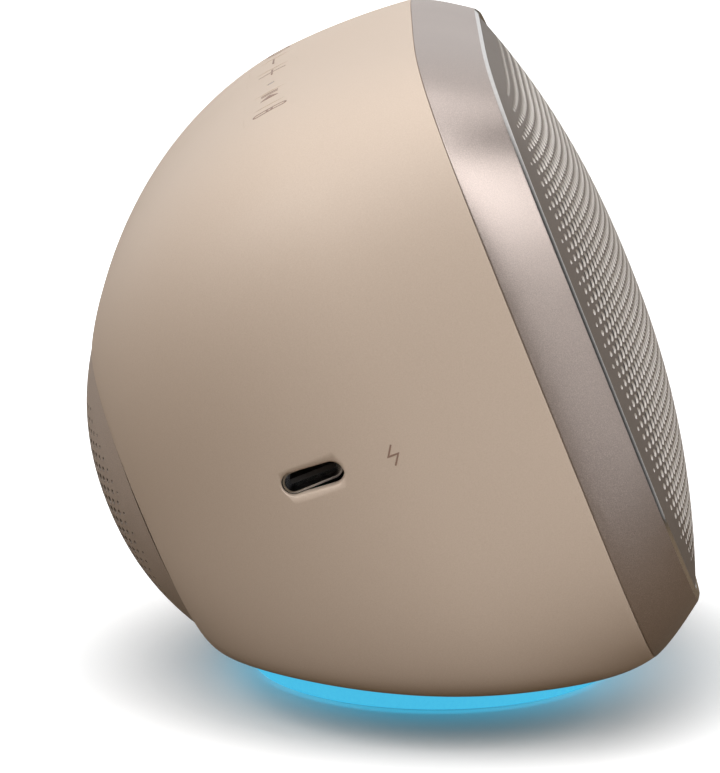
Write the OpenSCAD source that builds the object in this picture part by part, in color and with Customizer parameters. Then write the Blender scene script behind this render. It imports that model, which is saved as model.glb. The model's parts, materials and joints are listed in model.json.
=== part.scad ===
// Smart speaker: a tilted egg-shaped shell on a round glowing foot.
// Row frame: +Z up, the front faces -Y, the origin is the centre of the foot on the table.
// Axis frame, used by most parts: x along +X, y up the front's plane, z along the body's axis to the front.

/* [Body] */
// Half width of the body at the front seam
seam_w = 56.5; // [56:0.5:57.5]
// Half height of the body at the front seam
seam_h = 47.8; // [47.4:0.2:48.2]
// How far the body swells past its seam size
swell = 1.6; // [1.4:0.1:1.8]
// Squareness of the seam outline (2 is an ellipse)
seam_n = 4.6; // [4.5:0.1:5]
// Angle that the front leans back
tilt = 22; // [21.5:0.5:22.5]
// Wall thickness of the shell
wall = 2.4; // [2.2:0.1:2.6]
// Height of the seam's centre over the table
seam_z = 54.6; // [54.5:0.1:55]
// Height of the flattened belly over the table
belly = 9.4; // [9.2:0.1:9.6]

/* [Front] */
// Depth of the bezel along the axis
bezel_depth = 8.7; // [8.5:0.1:9]
// How far the bezel narrows from the seam to its front edge
bezel_taper = 4.8; // [4.6:0.1:5]
// Height of the front grille's dome
dome_height = 8; // [7.5:0.1:8.5]
// Radius of the woofer's frame
woofer_r = 30; // [29.8:0.1:30]

/* [Rear] */
// Radius of the rear rim
rear_r = 24; // [23.9:0.1:24.2]
// Height of the rear grille's dome
rear_dome = 7; // [6.6:0.1:7.2]

/* [Keys] */
// Distance between neighbouring keys and the status light
key_pitch = 10.9; // [10.8:0.05:11]
// Width of a key
key_w = 7.2; // [6.8:0.1:7.2]
// Length of a key
key_l = 8.6; // [8:0.1:9]
// Gap round a key
key_gap = 0.12; // [0.1:0.01:0.2]

/* [Foot] */
// Radius of the light ring
ring_r = 28; // [27.5:0.1:28]
// Height of the seat under the shell that the foot fills
seat_z = 9.9; // [9.8:0.1:10]

/* [Hidden] */
$fn = 64;
touch = 0.05;
sides = 96;
seam_y = -14.3;
rear_u = -63;
rear_drop = -3.3;
peak_u = -19.4;
belly_drop = 2;
belly_reach = 29;
belly_soft = 5;
inner_belly = 12.8;
seat_gap = 0.2;
baffle_t = 3;
gasket_t = 0.8;
pocket_inset = 2.2;
baffle_inset = 2.35;
ledge_inset = 3.8;
rear_wall = 2.2;
rear_hole_r = 19.5;
cavity_u = -7.4;
frame_flat = 19.2;
boss_x = 43.4;
boss_y = 36.4;
post_x = 34;
post_low = -27;
post_high = 22;
board_u = -24;
board_t = 1.4;
grille_inset = 6.25;
grille_u = 8.9;
grille_t = 1;
dome_power = 2.3;
woofer_y = -9.5;
tweeter_y = 31;
key_u = -22.5;
key_slope = 8;
key_corner = 1.5;
key_slots = [-2.5, -1.5, 0.5, 1.5, 2.5];
flange_z = -3.9;
key_flange = 10.4;
plunger_tip = -5.4;
key_board_z = -9.6;
key_board_t = 1.2;
key_post_x = 35.5;
key_board_x = 38.5;
lens_slot = -0.5;
usb_u = -34.4;
usb_y = 1;
usb_mouth = -52.3;
usb_depth = 7.3;
port_l = 9.5;
port_h = 3.7;
cell_r = 9.15;
cell_l = 65;
cell_u = -39;
cell_y = [7, -11.8];
base_screw_r = 12;
led_count = 12;
// Wires, in the axis frame, as the middle line of each from the board to what it feeds
woofer_wire = [[12, 27.4, -24.6], [12, 30, -22], [12.5, 29, -16], [13, 23, -10], [13, 16, -6.5],
  [12.5, 11.5, -5]];
tweeter_wire = [[-6, 27.4, -24.6], [-6, 30.5, -22], [-5, 31.5, -16], [-2, 31.2, -11], [0, 31, -7.9]];
usb_wire = [[-42, 0.4, -32], [-41.4, 0.4, -29], [-39.4, -0.4, -27.4], [-36, -1, -26.3]];

// ---- Outline of the body ----
function tail(peak, end) = (peak_u - rear_u) / sqrt(1 - pow(end / peak, 2));
function half(u, front) = let (peak = front + swell)
  u > peak_u ? peak - swell * pow(u / peak_u - 1, 2)
  : peak * sqrt(max(0, 1 - pow((peak_u - u) / tail(peak, rear_r), 2)));
function squareness(u) = 2 + (seam_n - 2) * pow(max(0, 1 - u / rear_u), 0.3);
function drop(u) = rear_drop * u / rear_u;
function oval(a, w, h, n) =
  let (r = pow(pow(abs(cos(a)) / w, n) + pow(abs(sin(a)) / h, n), -1 / n)) [r * cos(a), r * sin(a)];
// Angles crowd towards the corners of the outline, where it bends most
function crowd(i, count) = let (a = 360 * i / count) a + 8 * sin(4 * a);
function to_row(p) =
  [p[0], seam_y - p[2] * cos(tilt) + p[1] * sin(tilt), seam_z + p[1] * cos(tilt) + p[2] * sin(tilt)];
function smooth_max(a, b, k) = let (h = max(0, 1 - abs(a - b) / k)) max(a, b) + h * h * k / 4;
function belly_at(y) = belly - belly_drop * pow(y / belly_reach, 4);
// Raises a point to the flat belly, sliding it up the body's own section
function lift(p, floor_z, share) = let (rise = share * (smooth_max(p[2], floor_z, belly_soft) - p[2]))
  [p[0], p[1] + rise * tan(tilt), p[2] + rise];

// One ring of the shell at u, drawn in by inset. An inner ring has its own flat belly.
function body_ring(u, inset, inner) = [for (i = [0:sides - 1])
  let (o = oval(crowd(i, sides), half(u, seam_w) - inset, half(u, seam_h) - inset, squareness(u)))
  let (p = to_row([o[0], o[1] + drop(u), u]))
  lift(p, inner ? inner_belly : belly_at(p[1]), 1 - pow(u / rear_u, 30))];
function plain_ring(u, w, h, n, y = 0) = [for (i = [0:sides - 1])
  let (o = oval(crowd(i, sides), w, h, n)) to_row([o[0], o[1] + y, u])];
// Heights of a dome over its rim, for the share r of the way out
function dome(r, height) = height * (1 - pow(r, dome_power));
// Height of the body's top over the axis at x and u
function roof(x, u) = let (n = squareness(u), h = half(u, seam_h))
  h * pow(1 - pow(abs(x) / half(u, seam_w), n), 1 / n) + drop(u);

// ---- Shared shapes ----
// A skin through rings of points, each counter-clockwise seen from the next: closed on itself, or capped
module skin(rings, closed = false) {
  m = len(rings);
  n = len(rings[0]);
  spans = closed ? m : m - 1;
  walls = [for (i = [0:spans - 1]) for (j = [0:n - 1])
    let (next = (i + 1) % m, a = i * n + j, b = i * n + (j + 1) % n, c = next * n + (j + 1) % n, d = next * n + j)
    each [[a, c, b], [a, d, c]]];
  caps = closed ? [] : [[for (j = [0:n - 1]) j], [for (j = [n - 1:-1:0]) (m - 1) * n + j]];
  polyhedron(points = [for (r = rings) each r], faces = concat(walls, caps));
}

module axis_frame() translate([0, seam_y, seam_z]) rotate([90 - tilt, 0, 0]) children();
// Outward at the rear: z points away from the rear rim's plane
module rear_frame() axis_frame() translate([0, rear_drop, rear_u]) rotate([180, 0, 0]) children();
// At the keys: z is the surface's outward normal, y runs to the rear
module key_frame(x = 0)
  axis_frame() translate([x, roof(0, key_u), key_u]) rotate([-90 - key_slope, 0, 0]) children();
module woofer_frame() axis_frame() translate([0, woofer_y, 0]) children();
module tweeter_frame() axis_frame() translate([0, tweeter_y, 0]) children();

module ring(outer, inner, z0, z1) translate([0, 0, z0]) difference() {
  cylinder(r = outer, h = z1 - z0);
  translate([0, 0, -1]) cylinder(r = inner, h = z1 - z0 + 2);
}
module disc(r, z0, z1) translate([0, 0, z0]) cylinder(r = r, h = z1 - z0);
module block(low, high) translate(low) cube(high - low);
module screw(head_r, head_h, shank_r, shank_l) {
  difference() {
    cylinder(r = head_r, h = head_h);
    translate([0, 0, head_h / 2]) cylinder(r = head_r / 2, h = head_h, $fn = 6);
  }
  translate([0, 0, -shank_l]) cylinder(r = shank_r, h = shank_l);
}
module dome_cap(r, h, t) {
  ball = (r * r + h * h) / (2 * h);
  difference() {
    intersection() {
      translate([0, 0, h - ball]) sphere(r = ball);
      cylinder(r = r, h = h);
    }
    translate([0, 0, h - ball - t]) sphere(r = ball);
  }
}
// A flat plate with the body's squared outline
module plate(inset, z0, z1) translate([0, 0, z0]) linear_extrude(z1 - z0)
  polygon([for (i = [0:sides - 1]) oval(crowd(i, sides), seam_w - inset, seam_h - inset, seam_n)]);
module slot(length, height, z0, z1) translate([0, 0, z0]) linear_extrude(z1 - z0) {
  square([length - height, height], center = true);
  for (x = [-1, 1]) translate([x * (length - height) / 2, 0]) circle(d = height);
}
// Points of a rectangle with round corners
function rounded(w, l, r) = [
  for (c = [[1, 1, 0], [-1, 1, 90], [-1, -1, 180], [1, -1, 270]]) for (a = [0:15:90])
  [c[0] * (w / 2 - r) + r * cos(c[2] + a), c[1] * (l / 2 - r) + r * sin(c[2] + a)]];
module corners() for (x = [-1, 1]) for (y = [-1, 1]) translate([x * boss_x, y * boss_y, 0]) children();
module board_posts()
  for (x = [-post_x, post_x]) for (y = [post_low, post_high]) translate([x, y, 0]) children();
module base_spots() for (a = [45:90:315]) rotate([0, 0, a]) translate([base_screw_r, 0, 0]) children();
module radiator_spots() for (a = [45:90:315]) rotate([0, 0, a]) translate([21, 0, 0]) children();
module key_posts() key_frame() for (x = [-key_post_x, key_post_x]) translate([x, 0, 0]) children();
// At the socket: z runs into the body along +X, x along the body's axis
module usb_frame() axis_frame() translate([usb_mouth, usb_y, usb_u]) rotate([0, 90, 0]) children();

// ---- Shell and covers ----
module shell_skin() {
  steps = 17;
  outer = [for (i = [steps:-1:0]) let (u = rear_u * sin(75 * i / steps) / sin(75)) body_ring(u, 0, false)];
  ledge_u = -baffle_t - gasket_t;
  pocket = [[0, pocket_inset], [ledge_u, pocket_inset], [ledge_u, ledge_inset], [ledge_u - 2.6, ledge_inset]];
  front = [for (p = pocket)
    plain_ring(p[0], half(p[0], seam_w) - p[1], half(p[0], seam_h) - p[1], squareness(p[0]))];
  inner_steps = 7;
  inner = [for (i = [0:inner_steps])
    body_ring(cavity_u + (rear_u + rear_wall - cavity_u) * i / inner_steps, wall, true)];
  rear = [for (u = [rear_u + rear_wall, rear_u]) plain_ring(u, rear_hole_r, rear_hole_r, 2, rear_drop)];
  skin(concat(outer, front, inner, rear), closed = true);
}

module body_shell() color("#d3c6b9") difference() {
  union() {
    shell_skin();
    axis_frame() corners() disc(3.4, -11, -baffle_t - gasket_t);
    base_spots() disc(3.5, seat_z + 1, 17);
    key_posts() disc(2.4, key_board_z + key_board_t, -2.8);
  }
  disc(ring_r + seat_gap, -1, seat_z);
  axis_frame() corners() disc(0.9, -9, 0);
  base_spots() disc(1.05, seat_z - 1, 15.6);
  key_posts() disc(0.7, key_board_z, -3.5);
  rear_frame() radiator_spots() disc(0.6, -3, -0.8);
  usb_frame() slot(port_l, port_h, -8, 4);
  for (i = key_slots) key_frame(i * key_pitch) translate([0, 0, -7]) linear_extrude(10)
    polygon(rounded(key_w + 2 * key_gap, key_l + 2 * key_gap, key_corner + key_gap));
  key_frame(lens_slot * key_pitch) disc(0.7, -7, 3);
}

module front_bezel() color("#a89a92") {
  outer = [for (i = [0:5]) let (u = bezel_depth * i / 5) [bezel_taper * pow(i / 5, 1.25), max(u, touch)]];
  lip = [[bezel_taper + 0.7, bezel_depth + 0.5], [grille_inset - 0.1, bezel_depth + 0.3],
    [grille_inset - 0.1, grille_u - grille_t - touch], [7.4, grille_u - grille_t - touch], [7.4, 6.4],
    [3.2, 1.2], [3.2, touch]];
  skin([for (p = concat(outer, lip)) plain_ring(p[1], seam_w - p[0], seam_h - p[0], seam_n)], closed = true);
}

// A domed sheet with the squared outline, thickness t, its rim drawn in by inset
module dome_sheet(inset, rim_u, height, t) {
  out = [1, 0.95, 0.88, 0.78, 0.66, 0.52, 0.36, 0.2, 0.04];
  under = [0.04, 0.3, 0.55, 0.75, 0.9, 1];
  w = seam_w - inset;
  h = seam_h - inset;
  skin(concat(
    [for (r = under) plain_ring(rim_u - t + dome(r, height), w * r, h * r, 2 + (seam_n - 2) * r)],
    [for (r = out) plain_ring(rim_u + dome(r, height), w * r, h * r, 2 + (seam_n - 2) * r)]));
}
module front_grille() color("#8b7e74") dome_sheet(grille_inset, grille_u, dome_height, grille_t);
module grille_cloth() color("#3a3532") dome_sheet(7.6, grille_u - grille_t - 0.3, dome_height - 0.3, 0.5);

module front_baffle() color("#2b2b2d") axis_frame() difference() {
  union() {
    plate(baffle_inset, -baffle_t, 0);
    board_posts() disc(2.6, board_u, -baffle_t);
  }
  translate([0, woofer_y, 0]) disc(26.8, -4, 1);
  translate([0, tweeter_y, 0]) disc(8.6, -4, 1);
  corners() disc(1.1, -4, 1);
  corners() disc(2.3, -1.4, 1);
  board_posts() disc(0.95, board_u - 1, -12);
}
module baffle_gasket() color("#1c1c1c") axis_frame() difference() {
  plate(baffle_inset, -baffle_t - gasket_t + touch, -baffle_t - touch);
  plate(5.6, -baffle_t - gasket_t - 1, -baffle_t + 1);
  corners() disc(1.3, -6, 0);
}

// ---- Woofer ----
module woofer_basket() color("#3b3d40") woofer_frame() difference() {
  rotate_extrude() polygon([[25, 1.8], [woofer_r, 1.8], [woofer_r, touch], [26.3, touch], [26.3, -2],
    [16.5, -11], [16.5, -13], [9.5, -13], [9.5, -11.5], [15.3, -11.5], [24.4, -2.8], [24.4, 0.4], [25, 0.4]]);
  for (a = [0:60:300]) rotate([0, 0, a + 30]) block([17.4, -5.5, -9.6], [28, 5.5, -3.4]);
}
module woofer_top_plate() color("#8d9096") woofer_frame() ring(15, 5.95, -15.6, -13 - touch);
module woofer_magnet() color("#2d2e30") woofer_frame() ring(16, 8, -21, -15.6 - touch);
module woofer_yoke() color("#8d9096") woofer_frame() {
  disc(15, -23.5, -21 - touch);
  disc(4.7, -22, -13.2);
}
module woofer_spider() color("#c9a15c") woofer_frame() rotate_extrude() polygon(concat(
  [for (r = [5.75:0.5:12.25]) [r, -10.4 + 0.35 * sin(180 * (r - 5.75))]],
  [[13.2, -11], [15.1, -11], [15.1, -11.45], [13, -11.45]],
  [for (r = [12.25:-0.5:5.75]) [r, -10.8 + 0.35 * sin(180 * (r - 5.75))]]));
module woofer_surround() color("#222222") woofer_frame() rotate_extrude() {
  translate([19.3, 1.35]) square([1.3, 0.7]);
  translate([24.4, 1.8 + touch]) square([2.6, 0.5]);
  intersection() {
    translate([22.5, 1.85]) difference() {
      circle(r = 2.5);
      circle(r = 2);
    }
    translate([19.5, 1.85]) square([6, 4]);
  }
}
module woofer_cone() color("#4a4b4e") woofer_frame() rotate_extrude()
  polygon([[5.65, -9.3], [20.4, 0.5], [20.4, 1.3], [19.6, 1.3], [5.65, -8.3]]);
module dust_cap() color("#55575b") woofer_frame() translate([0, 0, -6.2]) dome_cap(8, 3.2, 0.6);
module voice_coil() color("#b87333") woofer_frame() ring(5.6, 5.05, -17, -7.2);

// ---- Tweeter and microphones ----
module tweeter_housing() color("#36383b") tweeter_frame() rotate_extrude()
  polygon([[6.8, 1.8], [9.5, 1.8], [9.5, touch], [8.4, touch], [8.4, -7], [0, -7], [0, -6.2], [7.4, -6.2],
    [7.4, -0.5], [6.8, -0.5]]);
module tweeter_magnet() color("#5a5c60") tweeter_frame() difference() {
  disc(7.3, -6.15, -1.8);
  ring(5.95, 4.8, -5, -1);
}
module tweeter_surround() color("#222222") tweeter_frame() ring(7.3, 5.75, -0.95, -0.6);
module tweeter_dome() color("#b9bcc0") tweeter_frame() {
  translate([0, 0, -0.9]) dome_cap(5.6, 2.2, 0.35);
  ring(5.6, 5.15, -3.6, -0.7);
}
module microphones() color("#c8b26a") axis_frame()
  for (x = [-26, 26]) block([x - 2, 28, touch], [x + 2, 31, 1.2]);

// ---- Rear grille and passive radiator ----
module rear_grille() color("#8b7e74") rear_frame() rotate_extrude() {
  rim = rear_r - 0.1;
  steps = 12;
  flat_share = pow(1 - (grille_t + touch) / rear_dome, 1 / dome_power);
  polygon(concat(
    [for (i = [0:steps]) [rim * i / steps, touch + dome(i / steps, rear_dome)]],
    [for (i = [steps:-1:0]) let (r = flat_share * i / steps)
      [rim * r, max(touch, dome(r, rear_dome) - grille_t)]]));
}
module grille_retainer() color("#2b2b2d") rear_frame() ring(rear_hole_r - 0.1, 17.8, -rear_wall, -touch);
module radiator_frame() color("#3b3d40") rear_frame() difference() {
  ring(22.4, 16.8, -4.4, -rear_wall - touch);
  radiator_spots() disc(0.8, -5, 0);
  block([-23, frame_flat, -5], [23, 23, 0]);
}
module radiator_surround() color("#222222") rear_frame() rotate_extrude() {
  translate([16.7, -4.9]) square([2.3, 0.45]);
  translate([12.6, -4.9]) square([1.2, 0.45]);
  intersection() {
    translate([15.25, -4.7]) difference() {
      circle(r = 1.75);
      circle(r = 1.3);
    }
    translate([13, -8]) square([5, 3.3]);
  }
}
module radiator_plate() color("#4a4b4e") rear_frame() disc(13.4, -4.4, -2.8);
module radiator_weight() color("#8d9096") rear_frame() disc(8, -10, -4.4 - touch);

// ---- Foot ----
module base_plate() color("#343436") difference() {
  union() {
    disc(25.2, 1, 3);
    base_spots() disc(3.2, 2.5, seat_z - touch);
    for (a = [0:90:270]) rotate([0, 0, a]) translate([20, 0, 0]) disc(1.5, 2.5, 5 - touch);
  }
  base_spots() disc(1.1, 0, seat_z);
  base_spots() disc(2.3, 0, 2.3);
}
module light_ring() color("#57c4ee") rotate_extrude()
  polygon([[25.4, 0.6], [ring_r - 0.5, 0.6], [ring_r - 0.15, 0.75], [ring_r, 1.1], [ring_r, seat_z - touch],
    [25.4, seat_z - touch]]);
module led_board() color("#1f5c3a") ring(24, 16, 5, 6.2);
module base_leds() color("#f4f1d8") for (i = [0:led_count - 1]) rotate([0, 0, 360 * i / led_count])
  block([21, -1, 6.2 + touch], [23, 1, 7.1]);
module foot_pad() color("#242424") ring(24.6, 17.5, 0, 1 - touch);

// ---- Electronics ----
module main_board() color("#1f5c3a") axis_frame() difference() {
  block([-37, -30, board_u - board_t], [37, 26, board_u - touch]);
  board_posts() disc(1.1, -30, -20);
}
module amp_shield() color("#b9bcc0") axis_frame() difference() {
  block([-26, 2, board_u - board_t - 2.4], [-8, 20, board_u - board_t - touch]);
  block([-25.7, 2.3, board_u - board_t - 2.1], [-8.3, 19.7, board_u - board_t + 1]);
}
module board_chips() color("#26262a") axis_frame() {
  // Corner, width and length of each chip
  chips = [[6, 6, 12, 12], [6, -12, 9, 7], [-22, -14, 8, 8], [22, 12, 6, 6], [22, -6, 5, 8], [-8, -24, 10, 5]];
  for (c = chips)
    block([c[0], c[1], board_u - board_t - 1.2], [c[0] + c[2], c[1] + c[3], board_u - board_t - touch]);
}
module antenna() color("#c7a04a") axis_frame() block([16, 26.5, -25.2], [36, 33, -24.4]);
module usb_board() color("#1f5c3a") axis_frame()
  block([-48.3, usb_y - 2.9, -40.5], [-36.2, usb_y - 1.7, -28.5]);
module usb_receptacle() color("#b9bcc0") usb_frame() difference() {
  slot(8.94, 3.26, 0, usb_depth);
  slot(8.34, 2.66, -1, usb_depth - 0.6);
}
module usb_tongue() color("#1a1a1a") usb_frame()
  block([-3.35, -0.35, 0.9], [3.35, 0.35, usb_depth - 0.6 - touch]);
module port_gasket() color("#1c1c1c") usb_frame() difference() {
  slot(port_l - 0.1, port_h - 0.1, 0.3, 2.3);
  slot(9.04, 3.36, -1, 4);
}
module battery_cells() color("#3c6fa8") axis_frame() for (y = cell_y)
  translate([-cell_l / 2, y, cell_u]) rotate([0, 90, 0]) cylinder(r = cell_r, h = cell_l);
module battery_holder() color("#2b2b2d") axis_frame() {
  edge = cell_l / 2 + 0.2;
  front = cell_u + cell_r + 0.1;
  for (s = [-1, 1]) scale([s, 1, 1]) block([edge, -21, cell_u - 8], [edge + 1.4, 16, front + 1.2]);
  for (y = cell_y) block([-edge - 0.5, y - 3, front], [edge + 0.5, y + 3, front + 1.2]);
}

// ---- Keys ----
module key_board() color("#1f5c3a") key_frame() difference() {
  block([-key_board_x, -5, key_board_z], [key_board_x, 5, key_board_z + key_board_t - touch]);
  for (x = [-key_post_x, key_post_x]) translate([x, 0, 0]) disc(0.9, -12, 0);
}
module tact_switches() color("#b9bcc0") for (i = key_slots) key_frame(i * key_pitch) {
  block([-2.2, -2.2, key_board_z + key_board_t], [2.2, 2.2, -6.6]);
  disc(1, -7, plunger_tip - 0.45);
}
module status_led() color("#f4f1d8") key_frame(lens_slot * key_pitch)
  block([-0.8, -0.8, key_board_z + key_board_t], [0.8, 0.8, -7.6]);
module status_lens() color("#8a6f5c") key_frame(lens_slot * key_pitch) disc(0.6, -7.5, -0.03);
// Surface height over the key's plane, s to the rear and x across, found in two steps
function cap_height(x, s) = let (
  q = roof(0, key_u) - s * sin(key_slope),
  first = (roof(x, key_u - s * cos(key_slope)) - q) / cos(key_slope))
  (roof(x, key_u - s * cos(key_slope) - first * sin(key_slope)) - q) / cos(key_slope);
module key(slot_x) key_frame(slot_x * key_pitch) {
  outline = rounded(key_w, key_l, key_corner);
  skin(concat([[for (p = outline) [p[0], p[1], -2.2]]],
    [for (r = [1, 0.75, 0.4, 0.05]) [for (p = outline)
      [p[0] * r, p[1] * r, cap_height(slot_x * key_pitch + p[0] * r, p[1] * r)]]]));
  block([-key_w / 2 + 1.5, -key_l / 2 + 0.5, flange_z - 0.1], [key_w / 2 - 1.5, key_l / 2 - 0.5, -2.1]);
  block([-key_w / 2, -key_flange / 2, flange_z - 0.7], [key_w / 2, key_flange / 2, flange_z]);
  disc(1.4, plunger_tip, flange_z - 0.6);
}
module pair_key() color("#d3c6b9") key(-2.5);
module play_key() color("#d3c6b9") key(-1.5);
module volume_up_key() color("#d3c6b9") key(0.5);
module volume_down_key() color("#d3c6b9") key(1.5);
module power_key() color("#d3c6b9") key(2.5);

// ---- Wires and fasteners ----
// A round wire through points, its rings square to the line between the points' neighbours
module wire(points, r) {
  last = len(points) - 1;
  skin([for (i = [0:last])
    let (way = points[min(last, i + 1)] - points[max(0, i - 1)], t = way / norm(way))
    let (side = cross([1, 0, 0], t), s = side / norm(side), o = cross(t, s))
    [for (a = [0:45:315]) points[i] + r * (cos(a) * s + sin(a) * o)]]);
}
module speaker_wires() color("#b03030") axis_frame() {
  wire(woofer_wire, 0.7);
  wire(tweeter_wire, 0.7);
  wire(usb_wire, 0.7);
}
module baffle_screws() color("#9a9ca0") axis_frame() corners()
  translate([0, 0, -1.3]) screw(2.1, 1.2, 0.85, 7);
module board_screws() color("#9a9ca0") {
  axis_frame() board_posts() translate([0, 0, board_u - board_t - touch]) rotate([180, 0, 0])
    screw(2, 1.2, 0.9, 9);
  key_posts() translate([0, 0, key_board_z - touch]) rotate([180, 0, 0]) screw(1.5, 1, 0.65, 5);
}
module radiator_screws() color("#9a9ca0") rear_frame() radiator_spots()
  translate([0, 0, -4.4 - touch]) rotate([180, 0, 0]) screw(1.3, 0.9, 0.55, 3.2);
module base_screws() color("#9a9ca0")
  base_spots() translate([0, 0, 2.25]) rotate([180, 0, 0]) screw(2.1, 1.2, 1, 12.5);

body_shell();
front_bezel();
front_grille();
grille_cloth();
front_baffle();
baffle_gasket();
woofer_basket();
woofer_top_plate();
woofer_magnet();
woofer_yoke();
woofer_spider();
woofer_surround();
woofer_cone();
dust_cap();
voice_coil();
tweeter_housing();
tweeter_magnet();
tweeter_surround();
tweeter_dome();
microphones();
rear_grille();
grille_retainer();
radiator_frame();
radiator_surround();
radiator_plate();
radiator_weight();
base_plate();
light_ring();
led_board();
base_leds();
foot_pad();
main_board();
amp_shield();
board_chips();
antenna();
usb_board();
usb_receptacle();
usb_tongue();
port_gasket();
battery_cells();
battery_holder();
key_board();
tact_switches();
status_led();
status_lens();
speaker_wires();
baffle_screws();
board_screws();
radiator_screws();
base_screws();
pair_key();
play_key();
volume_up_key();
volume_down_key();
power_key();
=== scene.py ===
import json
import math

import bmesh
import bpy
import numpy as np
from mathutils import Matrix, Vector
from mathutils.geometry import delaunay_2d_cdt


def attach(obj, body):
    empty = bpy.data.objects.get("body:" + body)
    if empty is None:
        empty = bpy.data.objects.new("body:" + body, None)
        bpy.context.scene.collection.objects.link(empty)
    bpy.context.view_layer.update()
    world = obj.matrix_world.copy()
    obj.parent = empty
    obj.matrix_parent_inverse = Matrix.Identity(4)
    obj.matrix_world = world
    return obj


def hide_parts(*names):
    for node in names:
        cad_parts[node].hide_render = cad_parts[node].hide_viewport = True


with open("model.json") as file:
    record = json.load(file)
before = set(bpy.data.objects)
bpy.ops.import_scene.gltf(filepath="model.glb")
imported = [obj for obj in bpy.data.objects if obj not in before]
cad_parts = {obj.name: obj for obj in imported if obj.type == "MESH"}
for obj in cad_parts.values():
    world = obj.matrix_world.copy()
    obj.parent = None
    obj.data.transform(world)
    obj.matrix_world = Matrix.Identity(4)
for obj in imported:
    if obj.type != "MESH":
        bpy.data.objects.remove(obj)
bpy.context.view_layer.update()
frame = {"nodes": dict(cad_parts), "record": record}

MM = 0.001

# ---- The body's outline, in mm, as in the CAD source ----
# Axis frame: x across, q up the front's plane, u along the body's axis to the front.
TILT = math.radians(22)
SEAM_Y, SEAM_Z = -14.3, 54.6
SEAM_W, SEAM_H, SEAM_N = 56.5, 47.8, 4.6
SWELL, PEAK_U, REAR_U, REAR_R, REAR_DROP = 1.6, -19.4, -63.0, 24.0, -3.3
BELLY, BELLY_DROP, BELLY_REACH, BELLY_SOFT, INNER_BELLY = 9.4, 2.0, 29.0, 5.0, 12.8
WALL, REAR_WALL, REAR_HOLE_R = 2.4, 2.2, 19.5
SQUARE_FALL, CROWDING = 0.3, math.radians(8)
SEAT_R, SEAT_Z = 28.2, 9.9
BEZEL_DEPTH, BEZEL_TAPER = 8.7, 4.8
GRILLE_INSET, GRILLE_U, DOME_HEIGHT, DOME_POWER = 6.25, 8.9, 8.0, 2.3
REAR_DOME = 7.0
KEY_U, KEY_PITCH, KEY_SLOPE = -22.5, 10.9, math.radians(8)
KEY_W, KEY_L, KEY_CORNER, KEY_FLANGE = 7.2, 8.6, 1.5, 10.4
USB_Y, USB_U, PORT_L, PORT_H = 1.0, -34.4, 9.3, 3.6


def tail(peak):
    return (PEAK_U - REAR_U) / math.sqrt(1 - (REAR_R / peak) ** 2)


def half(u, front):
    """Half size of the body at u, from its half size at the seam."""
    peak = front + SWELL
    u = np.asarray(u, float)
    fore = peak - SWELL * (u / PEAK_U - 1) ** 2
    aft = peak * np.sqrt(np.maximum(0, 1 - ((PEAK_U - u) / tail(peak)) ** 2))
    return np.where(u > PEAK_U, fore, aft)


def squareness(u):
    """The outline's power: SEAM_N at the seam, falling to a plain ellipse at the rear."""
    return 2 + (SEAM_N - 2) * np.maximum(0, 1 - np.asarray(u, float) / REAR_U) ** SQUARE_FALL


def drop(u):
    return REAR_DROP * u / REAR_U


def oval(a, w, h, n):
    r = ((np.abs(np.cos(a)) / w) ** n + (np.abs(np.sin(a)) / h) ** n) ** (-1 / n)
    return r * np.cos(a), r * np.sin(a)


def crowd(count):
    """Angles round an outline, crowded towards its corners."""
    a = 2 * np.pi * np.arange(count) / count
    return a + CROWDING * np.sin(4 * a)


def to_row(x, q, u):
    x, q, u = np.broadcast_arrays(x, q, u)
    return np.stack([x, SEAM_Y - u * math.cos(TILT) + q * math.sin(TILT),
                     SEAM_Z + q * math.cos(TILT) + u * math.sin(TILT)], -1)


def smooth_max(a, b, k):
    h = np.maximum(0, 1 - np.abs(a - b) / k)
    return np.maximum(a, b) + h * h * k / 4


def body_ring(u, inset, a, inner=False):
    """One ring of the shell, raised to the flat belly along its own section."""
    x, q = oval(a, half(u, SEAM_W) - inset, half(u, SEAM_H) - inset, squareness(u))
    p = to_row(x, q + drop(u), u)
    floor_z = INNER_BELLY if inner else BELLY - BELLY_DROP * (p[:, 1] / BELLY_REACH) ** 4
    rise = (1 - (u / REAR_U) ** 30) * (smooth_max(p[:, 2], floor_z, BELLY_SOFT) - p[:, 2])
    p[:, 1] += rise * math.tan(TILT)
    p[:, 2] += rise
    return p


def plain_ring(u, w, h, n, a, lift=0.0):
    x, q = oval(a, w, h, n)
    return to_row(x, q + lift, u)


def roof(x, u):
    """Height q of the body's top at x and u."""
    n = squareness(u)
    return half(u, SEAM_H) * (1 - (np.abs(x) / half(u, SEAM_W)) ** n) ** (1 / n) + drop(u)


def flank(q, u):
    """x of the body's -X side at q and u."""
    n = squareness(u)
    return -half(u, SEAM_W) * (1 - (np.abs(q - drop(u)) / half(u, SEAM_H)) ** n) ** (1 / n)


# ---- Places on the body: each maps two flat coordinates and a height to the row frame ----
def key_place(slot_x):
    """On a key: x across, s to the rear, h over the key's plane."""
    def place(x, s, h):
        top = roof(0, KEY_U)
        return to_row(slot_x * KEY_PITCH + x, top - s * math.sin(KEY_SLOPE) + h * math.cos(KEY_SLOPE),
                      KEY_U - s * math.cos(KEY_SLOPE) - h * math.sin(KEY_SLOPE))
    return place


def cap_height(slot_x, x, s):
    """The shell's surface over a key's plane, found in a few steps."""
    h = np.zeros(np.broadcast(x, s).shape)
    base = roof(0, KEY_U) - s * math.sin(KEY_SLOPE)
    for _ in range(8):
        u = KEY_U - s * math.cos(KEY_SLOPE) - h * math.sin(KEY_SLOPE)
        h = (roof(slot_x * KEY_PITCH + x, u) - base) / math.cos(KEY_SLOPE)
    return h


def on_key(slot_x):
    place = key_place(slot_x)
    return lambda x, s, h: place(x, s, cap_height(slot_x, x, s) + h)


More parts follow.
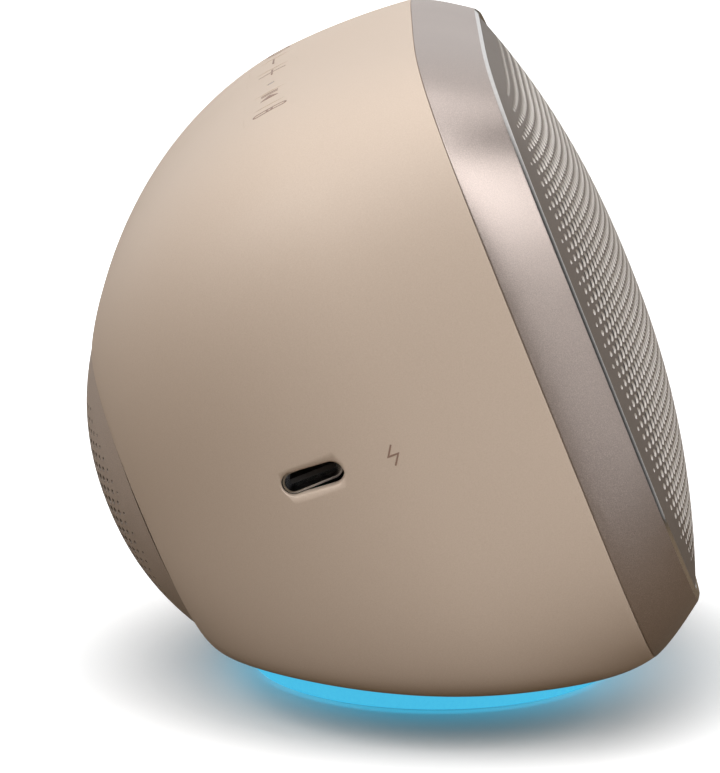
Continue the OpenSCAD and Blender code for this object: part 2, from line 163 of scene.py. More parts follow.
def on_flank(u0, q0):
    """On the -X side: a to the front and b up, both seen flat, h off the wall."""
    return lambda a, b, h: to_row(flank(q0 + b, u0 + a) - h, q0 + b, u0 + a)


def rear_place(x, y, h):
    """At the rear rim: y down the rim's plane, h outward."""
    return to_row(x, REAR_DROP - y, REAR_U - h)


# ---- Meshes ----
SHARP = math.radians(50)


def skin(rings, closed=False):
    """Quads through equal rings of points: closed on itself, or capped at both ends."""
    rings = np.asarray(rings, float)
    rows, n = rings.shape[:2]
    index = np.arange(rows * n).reshape(rows, n)
    a, b = (index, np.roll(index, -1, 0)) if closed else (index[:-1], index[1:])
    faces = np.stack([a, np.roll(a, -1, 1), np.roll(b, -1, 1), b], -1).reshape(-1, 4).tolist()
    if not closed:
        faces += [index[0][::-1].tolist(), index[-1].tolist()]
    return rings.reshape(-1, 3), faces


def joined(parts):
    """Several (points, faces) as one."""
    points, faces, start = [], [], 0
    for p, f in parts:
        points.append(p)
        faces += [[i + start for i in face] for face in f]
        start += len(p)
    return np.concatenate(points), faces


def settle(mesh, sharp=SHARP):
    """Turns every face outward, and shades smooth except at sharp edges."""
    bm = bmesh.new()
    bm.from_mesh(mesh)
    bmesh.ops.recalc_face_normals(bm, faces=bm.faces)
    for f in bm.faces:
        f.smooth = True
    for e in bm.edges:
        e.smooth = len(e.link_faces) == 2 and e.calc_face_angle(0) < sharp
    bm.to_mesh(mesh)
    bm.free()


def solid(name, points, faces, kinds=None):
    mesh = bpy.data.meshes.new(name)
    mesh.from_pydata((np.asarray(points) * MM).tolist(), [], faces)
    if kinds is not None:
        mesh.polygons.foreach_set("material_index", np.asarray(kinds, np.int32))
    settle(mesh)
    obj = bpy.data.objects.new(name, mesh)
    bpy.context.scene.collection.objects.link(obj)
    return obj


def piece(obj, body, materials, replaces=()):
    """Gives a mesh its materials, hangs it on its body's empty and hides the parts it replaces."""
    # A boolean leaves an empty slot, which has to go; clearing others would lose which face has which
    if len(obj.data.materials):
        obj.data.materials.clear()
    for m in materials:
        obj.data.materials.append(m)
    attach(obj, body)
    if replaces:
        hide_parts(*replaces)
    return obj


def cut(obj, cutters):
    """Takes the cutters out of obj and removes them."""
    for c in cutters:
        modifier = obj.modifiers.new("cut", "BOOLEAN")
        modifier.object, modifier.operation, modifier.solver = c, "DIFFERENCE", "MANIFOLD"
    graph = bpy.context.evaluated_depsgraph_get()
    mesh = bpy.data.meshes.new_from_object(obj.evaluated_get(graph))
    obj.modifiers.clear()
    obj.data = mesh
    for c in cutters:
        bpy.data.objects.remove(c)
    settle(mesh)


def rounded(w, l, r, steps=6):
    """A rounded rectangle's points."""
    points = []
    for sx, sy, a0 in ((1, 1, 0), (-1, 1, 90), (-1, -1, 180), (1, -1, 270)):
        for i in range(steps + 1):
            a = math.radians(a0 + 90 * i / steps)
            points.append((sx * (w / 2 - r) + r * math.cos(a), sy * (l / 2 - r) + r * math.sin(a)))
    return np.array(points).T


def stadium(length, height, steps=24):
    a = np.radians(np.linspace(-90, 90, steps))
    x = np.concatenate([(length - height) / 2 + height / 2 * np.cos(a),
                        -(length - height) / 2 - height / 2 * np.cos(a)])
    y = np.concatenate([height / 2 * np.sin(a), -height / 2 * np.sin(a)])
    return x, y


def lathe(profile, place, count=192):
    """A closed profile of (radius, height) turned round an axis."""
    a = 2 * np.pi * np.arange(count) / count
    rings = [place(r * np.cos(a), r * np.sin(a), np.full(count, float(h))) for r, h in profile]
    return skin(rings, closed=True)


def upright(x, y, h):
    return np.stack(np.broadcast_arrays(x, y, h), -1)


def ribbon(path, width, place, height=0.03, depth=0.12, closed=False):
    """A raised stroke along a flat path. width is one number or one for each point."""
    path = np.asarray(path, float)
    width = np.broadcast_to(np.asarray(width, float), len(path))
    legs = [(i, (i + 1) % len(path)) for i in range(len(path) if closed else len(path) - 1)]
    points, widths = [], []
    for i, j in legs:
        count = max(1, int(np.linalg.norm(path[j] - path[i]) / 0.4))
        for k in range(count):
            points.append(path[i] + (path[j] - path[i]) * k / count)
            widths.append(width[i] + (width[j] - width[i]) * k / count)
    if not closed:
        points.append(path[-1])
        widths.append(width[-1])
    p, w = np.array(points), np.array(widths) / 2
    after, before = np.roll(p, -1, 0), np.roll(p, 1, 0)
    if not closed:
        after[-1], before[0] = p[-1], p[0]
    a, b = after - p, p - before
    la, lb = (np.maximum(np.linalg.norm(v, axis=1, keepdims=True), 1e-9) for v in (a, b))
    way = a / la + b / lb
    way /= np.maximum(np.linalg.norm(way, axis=1, keepdims=True), 1e-9)
    side = np.stack([-way[:, 1], way[:, 0]], -1)
    bend = np.clip((way * np.where(la > 1e-8, a / la, b / lb)).sum(1), 0.5, 1)
    left, right = p + side * (w / bend)[:, None], p - side * (w / bend)[:, None]
    corners = [place(left[:, 0], left[:, 1], height), place(right[:, 0], right[:, 1], height),
               place(right[:, 0], right[:, 1], -depth), place(left[:, 0], left[:, 1], -depth)]
    return skin(np.stack(corners, 1), closed)


SMALL_HOLE, SMALL_HOLE_STEPS, HOLE_STEPS = 0.55, 10, 14


def perforated(rims, centres, radii, top, under):
    """A sheet with holes. rims are closed outlines from the outside in.

    top and under place flat points on its two faces."""
    flat = [np.asarray(r, float) for r in rims]
    owner = [np.full(len(r), -1 - i) for i, r in enumerate(flat)]
    n = len(flat[0])
    edges = [(i, (i + 1) % n) for i in range(n)]
    start = sum(len(r) for r in flat)
    loops = []
    for k, (c, r) in enumerate(zip(centres, radii)):
        count = HOLE_STEPS if r > SMALL_HOLE else SMALL_HOLE_STEPS
        a = 2 * np.pi * np.arange(count) / count
        flat.append(np.stack([c[0] + r * np.cos(a), c[1] + r * np.sin(a)], -1))
        owner.append(np.full(count, k))
        loops.append(list(range(start, start + count)))
        edges += [(start + i, start + (i + 1) % count) for i in range(count)]
        start += count
    flat, owner = np.concatenate(flat), np.concatenate(owner)
    found = delaunay_2d_cdt([Vector(p) for p in flat.tolist()], edges, [], 0, 1e-7, True)
    first = np.array([ids[0] for ids in found[3]])
    faces = first[np.array(found[2])]
    own = owner[faces]
    faces = faces[~((own[:, 0] >= 0) & (own[:, 0] == own[:, 1]) & (own[:, 1] == own[:, 2]))]
    total = len(flat)
    points = np.concatenate([top(flat[:, 0], flat[:, 1]), under(flat[:, 0], flat[:, 1])])
    sheet = faces.tolist() + (faces[:, ::-1] + total).tolist()
    rim = [[i, (i + 1) % n, (i + 1) % n + total, i + total] for i in range(n)]
    walls = [[l[i], l[(i + 1) % len(l)], l[(i + 1) % len(l)] + total, l[i] + total]
             for l in loops for i in range(len(l))]
    return points, sheet + rim + walls, [0] * (len(sheet) + len(rim)) + [1] * len(walls)


# ---- Materials ----
def material(name, dark, light, rough, grain, bump=0.2, metal=0.0, coat=0.0, stretch=(1, 1, 1), patches=60.0,
             pattern="grain", spread=0.06, emit=None, sheen=0.0):
    """A procedural finish: colour follows a fine and a broad pattern, gloss and relief the fine one.

    grain and patches are the two patterns' scales, in cycles per metre."""
    m = bpy.data.materials.new(name)
    m.use_nodes = True
    nodes, links = m.node_tree.nodes, m.node_tree.links
    shader = nodes["Principled BSDF"]

    def node(kind, **values):
        made = nodes.new("ShaderNode" + kind)
        for key, value in values.items():
            if key in made.inputs:
                made.inputs[key].default_value = value
            else:
                setattr(made, key, value)
        return made

    where = node("TexCoord")
    turned = node("Mapping")
    turned.inputs["Scale"].default_value = stretch
    links.new(where.outputs["Object"], turned.inputs["Vector"])

    def noise(scale, detail=3.0):
        made = node("TexNoise", Scale=scale, Detail=detail)
        links.new(turned.outputs["Vector"], made.inputs["Vector"])
        return made.outputs["Fac"]

    def mixed(kind, a, b):
        made = node("Math", operation=kind)
        links.new(a, made.inputs[0])
        links.new(b, made.inputs[1])
        return made.outputs[0]

    fine = noise(grain)
    if pattern in ("weave", "winding"):
        bands = []
        for axis in ("X", "Z") if pattern == "weave" else ("Y",):
            wave = node("TexWave", bands_direction=axis, Scale=grain / 8, Distortion=0.6, Detail=1.0)
            links.new(turned.outputs["Vector"], wave.inputs["Vector"])
            bands.append(wave.outputs["Fac"])
        fine = mixed("MULTIPLY", mixed("MAXIMUM", bands[0], bands[-1]), mixed("ADD", fine, fine))
    elif pattern in ("cells", "flake"):
        cells = node("TexVoronoi", Scale=grain)
        links.new(turned.outputs["Vector"], cells.inputs["Vector"])
        fine = mixed("MULTIPLY", cells.outputs["Distance"], mixed("ADD", fine, fine))
    elif pattern == "traces":
        brick = node("TexBrick", Scale=grain)
        links.new(turned.outputs["Vector"], brick.inputs["Vector"])
        fine = mixed("MULTIPLY", brick.outputs["Fac"], fine)
    broad = noise(patches, 2.0)
    blend = node("Math", operation="MULTIPLY_ADD")
    links.new(broad, blend.inputs[0])
    blend.inputs[1].default_value = 0.45
    links.new(fine, blend.inputs[2])
    ramp = node("ValToRGB")
    ramp.color_ramp.elements[0].position, ramp.color_ramp.elements[1].position = 0.45, 0.98
    ramp.color_ramp.elements[0].color, ramp.color_ramp.elements[1].color = (*dark, 1), (*light, 1)
    links.new(blend.outputs[0], ramp.inputs[0])
    links.new(ramp.outputs[0], shader.inputs["Base Color"])
    gloss = node("MapRange")
    gloss_range = {"From Min": 0.3, "From Max": 0.7, "To Min": rough - spread, "To Max": rough + spread}
    for key, value in gloss_range.items():
        gloss.inputs[key].default_value = value
    links.new(fine, gloss.inputs["Value"])
    links.new(gloss.outputs[0], shader.inputs["Roughness"])
    relief = node("Bump", Strength=bump, Distance=0.00003)
    links.new(fine, relief.inputs["Height"])
    links.new(relief.outputs[0], shader.inputs["Normal"])
    shader.inputs["Metallic"].default_value = metal
    shader.inputs["Coat Weight"].default_value = coat
    shader.inputs["Coat Roughness"].default_value = 0.25
    shader.inputs["Sheen Weight"].default_value = sheen
    if emit:
        shader.inputs["Emission Color"].default_value = (*emit[0], 1)
        shader.inputs["Emission Strength"].default_value = emit[1]
    return m


SHELL = material("shell_finish", (0.62, 0.495, 0.395), (0.68, 0.555, 0.455), 0.52, 5200, 0.16,
                 patches=18, spread=0.05)
BEZEL = material("bezel_satin", (0.45, 0.38, 0.35), (0.60, 0.515, 0.475), 0.36, 8000, 0.3, metal=0.92,
                 pattern="flake", patches=40, spread=0.07)
POLISH = material("bezel_polish", (0.80, 0.77, 0.74), (0.93, 0.90, 0.88), 0.09, 2500, 0.04, metal=1.0,
                  stretch=(0.2, 1, 1), spread=0.03)
# Front grille paint, much darker than the rear grille's: partly its own dark taupe, partly painted shade for
# the front, which faces away from the lamps
GRILLE_PAINT_AND_SHADE = material("grille_paint_and_painted_shade", (0.15, 0.12, 0.098), (0.22, 0.178, 0.148), 0.48, 6000, 0.3, metal=0.35,
                  pattern="flake", spread=0.06)
REAR = material("rear_grille_paint", (0.48, 0.395, 0.34), (0.60, 0.50, 0.435), 0.42, 6000, 0.3, metal=0.35,
                pattern="flake", spread=0.06)
HOLE = material("grille_hole_wall", (0.86, 0.79, 0.73), (0.97, 0.92, 0.87), 0.45, 5000, 0.2)
PRINT = material("icon_print", (0.24, 0.145, 0.105), (0.34, 0.22, 0.165), 0.5, 8000, 0.2)
GLOW = material("ring_glow", (0.02, 0.10, 0.14), (0.06, 0.18, 0.24), 0.35, 1500, 0.1, patches=120,
                emit=((0.055, 0.44, 0.68), 1.15))
LOOKS = {
    "shell": SHELL, "bezel": BEZEL, "grille": GRILLE_PAINT_AND_SHADE, "light_ring": GLOW,
    "cloth": material("acoustic_cloth", (0.012, 0.011, 0.010), (0.05, 0.045, 0.04), 0.9, 9000, 0.6,
                      pattern="weave", sheen=0.2),
    "inner_plastic": material("moulded_black", (0.022, 0.022, 0.024), (0.045, 0.045, 0.048), 0.5, 3500, 0.4),
    "seal": material("black_rubber", (0.014, 0.014, 0.014), (0.032, 0.032, 0.032), 0.75, 2500, 0.4),
    "basket": material("basket_coat", (0.035, 0.036, 0.04), (0.07, 0.072, 0.078), 0.42, 4500, 0.5, metal=0.3,
                       pattern="cells"),
    "steel": material("zinc_plate", (0.42, 0.43, 0.45), (0.62, 0.63, 0.66), 0.3, 2200, 0.25, metal=1.0,
                      stretch=(1, 0.12, 1)),
    "magnet": material("ferrite", (0.02, 0.02, 0.022), (0.06, 0.06, 0.064), 0.62, 3000, 0.5, pattern="cells"),
    "cone": material("cone_weave", (0.04, 0.04, 0.044), (0.11, 0.11, 0.12), 0.45, 5000, 0.5, pattern="weave"),
    "spider": material("spider_cloth", (0.38, 0.24, 0.07), (0.62, 0.42, 0.16), 0.8, 6000, 0.6,
                       pattern="weave"),
    "copper": material("coil_winding", (0.42, 0.18, 0.06), (0.72, 0.36, 0.14), 0.3, 9000, 0.5, metal=1.0,
                       pattern="winding"),
    "dome": material("dome_satin", (0.45, 0.45, 0.47), (0.62, 0.62, 0.64), 0.32, 4000, 0.2, metal=1.0),
    "board": material("solder_mask", (0.008, 0.06, 0.025), (0.03, 0.15, 0.06), 0.35, 500, 0.4, coat=0.3,
                      pattern="traces"),
    "chips": material("chip_moulding", (0.014, 0.014, 0.016), (0.035, 0.035, 0.038), 0.55, 5000, 0.3),
    "lamp": material("diode_lens", (0.62, 0.58, 0.36), (0.85, 0.82, 0.62), 0.28, 3000, 0.2, coat=0.4),
    "status_lens": material("smoked_lens", (0.16, 0.10, 0.07), (0.30, 0.20, 0.15), 0.25, 2500, 0.1, coat=0.5),
    "antenna": material("antenna_foil", (0.42, 0.27, 0.06), (0.62, 0.44, 0.14), 0.35, 1800, 0.3, metal=1.0,
                        stretch=(0.15, 1, 1)),
    "socket": material("socket_plate", (0.34, 0.34, 0.35), (0.66, 0.66, 0.67), 0.2, 1500, 0.15, metal=1.0,
                       stretch=(0.2, 1, 1)),
    "cells": material("cell_sleeve", (0.02, 0.09, 0.26), (0.05, 0.17, 0.40), 0.3, 900, 0.15, coat=0.4),
    "wires": material("wire_sheath", (0.26, 0.015, 0.015), (0.44, 0.04, 0.035), 0.4, 2500, 0.2),
}

for entry in frame["record"]["subparts"]:
    mesh = frame["nodes"][entry["node"]].data
    mesh.materials.clear()
    mesh.materials.append(LOOKS[entry["material_slot"]])

# ---- Shell ----
RING = crowd(288)
# Fillets at the seam and at the rear, and rings of points that crowd towards the rear
EDGE, REAR_EDGE = 0.15, 0.7
ROWS, ROW_SWEEP, INNER_ROWS = 84, math.radians(75), 16
# The baffle's seat inside the seam: wall, depth, then a thicker wall behind it
LIP, SEAT_DEPTH, SHELF, SHELF_DEPTH, INNER_U = 2.2, -3.8, 3.8, -6.4, -7.4
# How far the key cuts reach under and over a key's plane
CUT_UNDER, CUT_OVER = -7.0, 3.0


def shell_rings():
    rows = REAR_U * np.sin(ROW_SWEEP * np.arange(ROWS + 1) / ROWS) / math.sin(ROW_SWEEP)
    rows = [u for u in rows if REAR_U + REAR_EDGE + 0.1 < u < -EDGE - 0.1]
    arc = np.radians(np.linspace(0, 90, 6))
    outer = [body_ring(REAR_U + REAR_EDGE * (1 - math.sin(t)), REAR_EDGE * (1 - math.cos(t)), RING)
             for t in arc[::-1]]
    outer += [body_ring(u, 0, RING) for u in rows[::-1]]
    outer += [body_ring(-EDGE * (1 - math.sin(t)), EDGE * (1 - math.cos(t)), RING) for t in arc]
    steps_in = [(0, LIP), (SEAT_DEPTH, LIP), (SEAT_DEPTH, SHELF), (SHELF_DEPTH, SHELF)]
    front = [plain_ring(u, half(u, SEAM_W) - i, half(u, SEAM_H) - i, squareness(u), RING)
             for u, i in steps_in]
    inner = [body_ring(u, WALL, RING, True) for u in np.linspace(INNER_U, REAR_U + REAR_WALL, INNER_ROWS)]
    hole = [plain_ring(u, REAR_HOLE_R, REAR_HOLE_R, 2, RING, REAR_DROP)
            for u in (REAR_U + REAR_WALL, REAR_U)]
    return outer + front + inner + hole


shell = solid("shell", *skin(shell_rings(), closed=True))
cutters = [solid("seat_cut", *skin([upright(SEAT_R * np.cos(RING), SEAT_R * np.sin(RING), h)
                                    for h in (-1.0, SEAT_Z)]))]
KEYS = {"pair_key": -2.5, "play_key": -1.5, "volume_up_key": 0.5, "volume_down_key": 1.5, "power_key": 2.5}
LENS_SLOT, KEY_GAP = -0.5, 0.015
for name, at in KEYS.items():
    x, s = rounded(KEY_W + 2 * KEY_GAP, KEY_L + 2 * KEY_GAP, KEY_CORNER + KEY_GAP)
    cutters.append(solid(name + "_cut", *skin([key_place(at)(x, s, h) for h in (CUT_UNDER, CUT_OVER)])))
LENS_R = 0.7
turn = 2 * np.pi * np.arange(32) / 32
cutters.append(solid("lens_cut", *skin([key_place(LENS_SLOT)(LENS_R * np.cos(turn), LENS_R * np.sin(turn), h)
                                        for h in (CUT_UNDER, CUT_OVER)])))
# The port's hole runs right through the wall, with a chamfer at its mouth
PORT_OUT, PORT_IN = -60.0, -48.0
CHAMFER, CHAMFER_OVER, CHAMFER_END = 0.2, 1.0, -1.2
a, b = stadium(PORT_L, PORT_H)
cutters.append(solid("port_cut", *skin([to_row(x, USB_Y + b, USB_U + a) for x in (PORT_OUT, PORT_IN)])))
cut(shell, cutters)
rings = []
for grow, height in ((CHAMFER + CHAMFER_OVER, CHAMFER_OVER), (CHAMFER, 0.0), (0.0, -CHAMFER),
                     (0.0, CHAMFER_END)):
    a, b = stadium(PORT_L + 2 * grow, PORT_H + 2 * grow)
    rings.append(on_flank(USB_U, USB_Y)(a, b, height))
cut(shell, [solid("port_chamfer_cut", *skin(rings))])
piece(shell, "enclosure", [SHELL], ["body_shell"])

# ---- Bezel ----
BAND = crowd(384)
BACK_FILLET, BACK_GAP, TAPER_STEPS, TAPER_POWER = 0.08, 0.05, 26, 1.25


def bezel_piece():
    """A ring turned from one section of (inset, u, finish), where finish 1 is polished."""
    arc = np.radians(np.linspace(90, 0, 4))
    section = [(BACK_FILLET * (1 - math.cos(t)), BACK_GAP + BACK_FILLET * (1 - math.sin(t)), 0) for t in arc]
    section += [(BEZEL_TAPER * t ** TAPER_POWER, BEZEL_DEPTH * t, 0)
                for t in np.arange(1, TAPER_STEPS) / TAPER_STEPS if BEZEL_DEPTH * t > BACK_GAP + 0.2]
    # Polished edge, grille seat, and the inside wall back to the seam
    section += [(4.74, 8.62, 0), (4.82, 8.72, 1), (5.42, 9.15, 1), (5.52, 9.2, 1), (5.62, 9.19, 1),
                (6.05, 9.04, 1), (6.13, 8.98, 1), (6.15, 8.9, 0), (6.15, 7.85, 0), (7.4, 7.85, 0),
                (7.4, 6.4, 0), (3.2, 1.2, 0), (3.2, 0.05, 0)]
    rings = [plain_ring(u, SEAM_W - i, SEAM_H - i, SEAM_N, BAND) for i, u, _ in section]
    points, faces = skin(rings, closed=True)
    kinds = np.repeat([s[2] for s in section], len(BAND))
    return solid("bezel", points, faces, kinds)


piece(bezel_piece(), "enclosure", [BEZEL, POLISH], ["front_bezel"])

# ---- Front grille ----
GRILLE_W, GRILLE_H = SEAM_W - GRILLE_INSET, SEAM_H - GRILLE_INSET
HOLE_PITCH, HOLE_ROW = 1.9, 1.62
RIM_SHARE, RIM_THICK, SHEET_THICK = 0.965, 1.0, 0.3


def share(x, q):
    """How far out a point of the grille is, from 0 at the centre to 1 at the rim."""
    low, high = np.full(np.shape(x), 1e-4), np.full(np.shape(x), 1.2)
    for _ in range(40):
        r = (low + high) / 2
        n = 2 + (SEAM_N - 2) * r
        out = (np.abs(x) / (GRILLE_W * r)) ** n + (np.abs(q) / (GRILLE_H * r)) ** n > 1
        low, high = np.where(out, r, low), np.where(out, high, r)
    return (low + high) / 2


def grille_top(x, q, under=0.0):
    return to_row(x, q, GRILLE_U + DOME_HEIGHT * (1 - share(x, q) ** DOME_POWER) - under)


def lattice(pitch, row, reach):
    count = int(reach / min(pitch, row)) + 2
    i, j = np.meshgrid(np.arange(-count, count + 1), np.arange(-count, count + 1), indexing="ij")
    return np.stack([((i + 0.5 * (j % 2)) * pitch).ravel(), (j * row).ravel()], -1)


def front_holes():
    """Holes in staggered rows, growing from the pattern's edge inward."""
    plain, small, full, grow = 3.2, 0.25, 0.82, 6.0
    w, h = GRILLE_W - plain, GRILLE_H - plain

    def out(p):
        return ((np.abs(p[:, 0]) / w) ** SEAM_N + (np.abs(p[:, 1]) / h) ** SEAM_N) ** (1 / SEAM_N)
    centres = lattice(HOLE_PITCH, HOLE_ROW, GRILLE_W)
    centres = centres[out(centres) < 1]
    step = 0.01
    slope = np.hypot(out(centres + [step, 0]) - out(centres - [step, 0]),
                     out(centres + [0, step]) - out(centres - [0, step])) / (2 * step)
    depth = (1 - out(centres)) / np.maximum(slope, 1e-6)
    return centres, small + (full - small) * np.clip(depth / grow, 0, 1) ** 0.7


def front_grille_piece():
    angles = crowd(288)
    rims = [np.stack(oval(angles, GRILLE_W * r, GRILLE_H * r, 2 + (SEAM_N - 2) * r), -1)
            for r in (1, 0.992, 0.98, 0.965, 0.95)]
    centres, radii = front_holes()
    def under(x, q):
        return grille_top(x, q, np.where(share(x, q) > RIM_SHARE, RIM_THICK, SHEET_THICK))
    points, faces, kinds = perforated(rims, centres, radii, grille_top, under)
    return solid("front_grille_perforated", points, faces, kinds)


piece(front_grille_piece(), "enclosure", [GRILLE_PAINT_AND_SHADE, HOLE], ["front_grille"])

# ---- Rear grille ----
REAR_GRILLE_R, REAR_REACH = 23.9, 19.4
REAR_PITCH, REAR_ROW, REAR_SMALL, REAR_GAIN, REAR_GROW = 1.95, 1.65, 0.24, 0.44, 6
REAR_LIFT, REAR_THICK = 0.05, 0.95


def rear_top(x, y):
    r = np.minimum(np.hypot(x, y) / REAR_GRILLE_R, 1)
    return rear_place(x, y, REAR_LIFT + REAR_DOME * (1 - r ** DOME_POWER))


def rear_under(x, y):
    r = np.minimum(np.hypot(x, y) / REAR_GRILLE_R, 1)
    return rear_place(x, y, np.maximum(REAR_LIFT, REAR_DOME * (1 - r ** DOME_POWER) - REAR_THICK))


def rear_grille_piece():
    angles = 2 * np.pi * np.arange(192) / 192
    rims = [np.stack([REAR_GRILLE_R * r * np.cos(angles), REAR_GRILLE_R * r * np.sin(angles)], -1)
            for r in (1, 0.975, 0.94, 0.9, 0.86, 0.82)]
    centres = lattice(REAR_PITCH, REAR_ROW, REAR_GRILLE_R)
    away = np.hypot(centres[:, 0], centres[:, 1])
    keep = away < REAR_REACH
    radii = REAR_SMALL + REAR_GAIN * np.clip((REAR_REACH - away[keep]) / REAR_GROW, 0, 1)
    points, faces, kinds = perforated(rims, centres[keep], radii, rear_top, rear_under)
    return solid("rear_grille_perforated", points, faces, kinds)


# The rear holes' walls take the darker front grille paint, as painted shade in the holes
piece(rear_grille_piece(), "enclosure", [REAR, GRILLE_PAINT_AND_SHADE], ["rear_grille"])


# ---- Keys and their icons ----
KEY_FILLET, FLANGE_TOP, FLANGE_UNDER, POST_R, POST_END = 0.02, -3.9, -4.6, 1.4, -5.4


def key_piece(name, at):
    """A cap flush with the roof, its flange under the wall, and the post that meets the switch."""
    x, s = rounded(KEY_W, KEY_L, KEY_CORNER, 8)
    place, top = key_place(at), on_key(at)
    rings = [top(x * r, s * r, 0.0) for r in (0.03, 0.2, 0.4, 0.6, 0.8, 0.93, 0.98)]
    for t in np.radians((90, 60, 30, 0)):
        inset = KEY_FILLET * (1 - math.cos(t))
        rings.append(top(x * (1 - inset / KEY_W * 2), s * (1 - inset / KEY_L * 2),
                         -KEY_FILLET * (1 - math.sin(t))))
    fx, fs = rounded(KEY_W, KEY_FLANGE, KEY_CORNER, 8)
    turn = np.arctan2(s, x)
    rings += [place(x, s, FLANGE_TOP), place(fx, fs, FLANGE_TOP), place(fx, fs, FLANGE_UNDER)]
    rings += [place(POST_R * np.cos(turn), POST_R * np.sin(turn), h) for h in (FLANGE_UNDER, POST_END)]
    return solid(name + "_cap", *skin(rings))


def circle(cx, cy, rx, ry, start=0, end=360, steps=28):
    a = np.radians(np.linspace(start, end, steps, endpoint=end - start < 360))
    return np.stack([cx + rx * np.cos(a), cy + ry * np.sin(a)], -1)


def link(cy):
    """One long link of a chain."""
    x, y = stadium(3.1, 1.3, 10)
    return np.stack([y, x + cy], -1)


LINE = 0.3
ICONS = {
    "pair_key": [(link(-1.1), LINE, True), (link(1.1), LINE, True)],
    "play_key": [([(-2.3, 0), (-0.2, 0)], (2.9, 0.1), False), ([(0.8, -1.4), (0.8, 1.4)], 0.45, False),
                 ([(1.9, -1.4), (1.9, 1.4)], 0.45, False)],
    "volume_up_key": [([(0, -2.3), (0, 2.3)], LINE, False), ([(-2.3, 0), (-0.18, 0)], LINE, False),
                      ([(0.18, 0), (2.3, 0)], LINE, False)],
    "volume_down_key": [([(-2.3, 0), (2.3, 0)], LINE, False)],
    "power_key": [(circle(0, -0.2, 2.1, 2.1, 125, 415), LINE, False), ([(0, 0.4), (0, 2.6)], LINE, False)],
}
for name, at in KEYS.items():
    piece(key_piece(name, at), name, [SHELL], [name])
    strokes = [ribbon(path, width, on_key(at), closed=closed) for path, width, closed in ICONS[name]]
    piece(solid(name.replace("_key", "_icon"), *joined(strokes)), name, [PRINT])

BOLT = [(0.23, 1.53), (-0.75, 0), (0.75, 0), (-0.27, -1.51)]
BOLT_U, BOLT_Q, BOLT_LINE = -22.4, 0.7, 0.25
charge_mark = solid("charge_mark", *ribbon(BOLT, BOLT_LINE, on_flank(BOLT_U, BOLT_Q)))
piece(charge_mark, "enclosure", [PRINT])

# ---- Foot ----
ring_profile = [(25.4, 0.6), (27.2, 0.6), (27.5, 0.64), (27.75, 0.76), (27.92, 0.95), (28.0, 1.25),
                (28.0, 9.6), (27.9, 9.8), (27.75, 9.85), (25.4, 9.85)]
glow_ring = solid("glow_ring", *lathe(ring_profile, upright, 256))
piece(glow_ring, "enclosure", [GLOW], ["light_ring"])
pad_profile = [(17.5, 0.2), (17.7, 0.05), (18.0, 0.0), (19.4, 0.0), (19.6, 0.3), (20.0, 0.3), (20.2, 0.0),
               (21.9, 0.0), (22.1, 0.3), (22.5, 0.3), (22.7, 0.0), (24.1, 0.0), (24.4, 0.05), (24.6, 0.2),
               (24.6, 0.95), (17.5, 0.95)]
piece(solid("grip_pad", *lathe(pad_profile, upright)), "enclosure", [LOOKS["seal"]], ["foot_pad"])


# ---- Stage, light and camera ----
def stage_floor():
    mesh = bpy.data.meshes.new("floor")
    reach = 4.0
    corners = [(-reach, -reach, 0), (reach, -reach, 0), (reach, reach, 0), (-reach, reach, 0)]
    mesh.from_pydata(corners, [], [(0, 1, 2, 3)])
    floor = bpy.data.objects.new("floor", mesh)
    bpy.context.scene.collection.objects.link(floor)
    m = bpy.data.materials.new("floor_white")
    m.use_nodes = True
    nodes, links = m.node_tree.nodes, m.node_tree.links
    shader = nodes["Principled BSDF"]
    shader.inputs["Roughness"].default_value = 0.9
    shader.inputs["Specular IOR Level"].default_value = 0.1
    # Pale where it is seen, and a darker warm grey where it lights the body
    seen = nodes.new("ShaderNodeLightPath")
    colour = nodes.new("ShaderNodeMix")
    lift = nodes.new("ShaderNodeMix")
    for mix, low, high in ((colour, (0.16, 0.12, 0.08, 1), (0.9, 0.9, 0.9, 1)),
                           (lift, (0, 0, 0, 1), (0.6, 0.6, 0.6, 1))):
        mix.data_type = "RGBA"
        mix.inputs[6].default_value, mix.inputs[7].default_value = low, high
        links.new(seen.outputs["Is Camera Ray"], mix.inputs[0])
    links.new(colour.outputs[2], shader.inputs["Base Color"])
    links.new(lift.outputs[2], shader.inputs["Emission Color"])
    # A painted glow (the lift) brightens the floor towards white and fades out towards the foot, so that the
    # shadow and the ring's glow stay
    spot = nodes.new("ShaderNodeTexCoord")
    away = nodes.new("ShaderNodeVectorMath")
    fade = nodes.new("ShaderNodeMapRange")
    away.operation = "LENGTH"
    fade.interpolation_type = "SMOOTHSTEP"
    fade.inputs["From Min"].default_value, fade.inputs["From Max"].default_value = 0.035, 0.075
    links.new(spot.outputs["Object"], away.inputs[0])
    links.new(away.outputs["Value"], fade.inputs["Value"])
    links.new(fade.outputs[0], shader.inputs["Emission Strength"])
    mesh.materials.append(m)


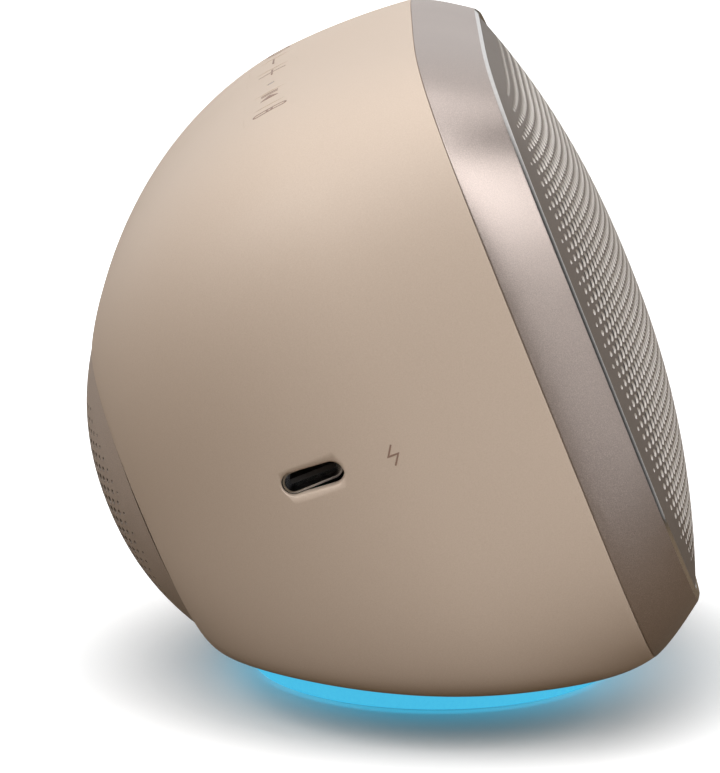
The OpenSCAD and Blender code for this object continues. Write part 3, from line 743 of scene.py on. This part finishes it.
def area_light(name, at, aim, size, power):
    light = bpy.data.lights.new(name, "AREA")
    light.shape, light.size, light.size_y = "RECTANGLE", size[0], size[1]
    light.energy = power
    obj = bpy.data.objects.new(name, light)
    obj.location = at
    obj.rotation_mode = "QUATERNION"
    obj.rotation_quaternion = (Vector(aim) - Vector(at)).to_track_quat("-Z", "Y")
    bpy.context.scene.collection.objects.link(obj)


stage_floor()
HEART = (0.0, 0.0, 0.055)
# Soft boxes round the speaker: turn is from -X towards the front and lift from the floor, in degrees
RING_REACH, BOX = 1.4, 0.9
for name, turn, lift, power in (("rear_left", -70, 38, 6), ("left", -25, 38, 6), ("left_front", 20, 38, 4),
                                ("front_left", 58, 30, 6)):
    t, lift = math.radians(turn), math.radians(lift)
    aside = RING_REACH * math.cos(lift)
    at = (-aside * math.cos(t), -aside * math.sin(t), HEART[2] + RING_REACH * math.sin(lift))
    area_light(name + "_soft", at, HEART, (BOX, BOX), power)
area_light("top_soft", (0.1, 0.0, 1.6), HEART, (2.0, 2.0), 14)
world = bpy.data.worlds.new("studio")
bpy.context.scene.world = world
world.use_nodes = True
nodes, links = world.node_tree.nodes, world.node_tree.links
# A pale far side and a dim near side
where = nodes.new("ShaderNodeTexCoord")
split = nodes.new("ShaderNodeSeparateXYZ")
fade = nodes.new("ShaderNodeMapRange")
fade.interpolation_type = "SMOOTHSTEP"
for key, value in {"From Min": 0.1, "From Max": 0.9, "To Min": 0.06, "To Max": 0.75}.items():
    fade.inputs[key].default_value = value
links.new(where.outputs["Generated"], split.inputs[0])
links.new(split.outputs["X"], fade.inputs["Value"])
nodes["Background"].inputs["Color"].default_value = (1, 1, 1, 1)
links.new(fade.outputs[0], nodes["Background"].inputs["Strength"])
bpy.context.scene.view_settings.view_transform = "Standard"

EYE, TARGET, LENS, SENSOR = (-0.65014, 0.01159, 0.19164), (0.00941, 0.01133, 0.04127), 204.4, 36.0
camera = bpy.data.objects.new("camera", bpy.data.cameras.new("camera"))
camera.data.lens, camera.data.sensor_width = LENS, SENSOR
camera.location = EYE
camera.rotation_mode = "QUATERNION"
camera.rotation_quaternion = (Vector(TARGET) - camera.location).to_track_quat("-Z", "Y")
camera.data.clip_start = 0.01
bpy.context.scene.collection.objects.link(camera)
bpy.context.scene.camera = camera
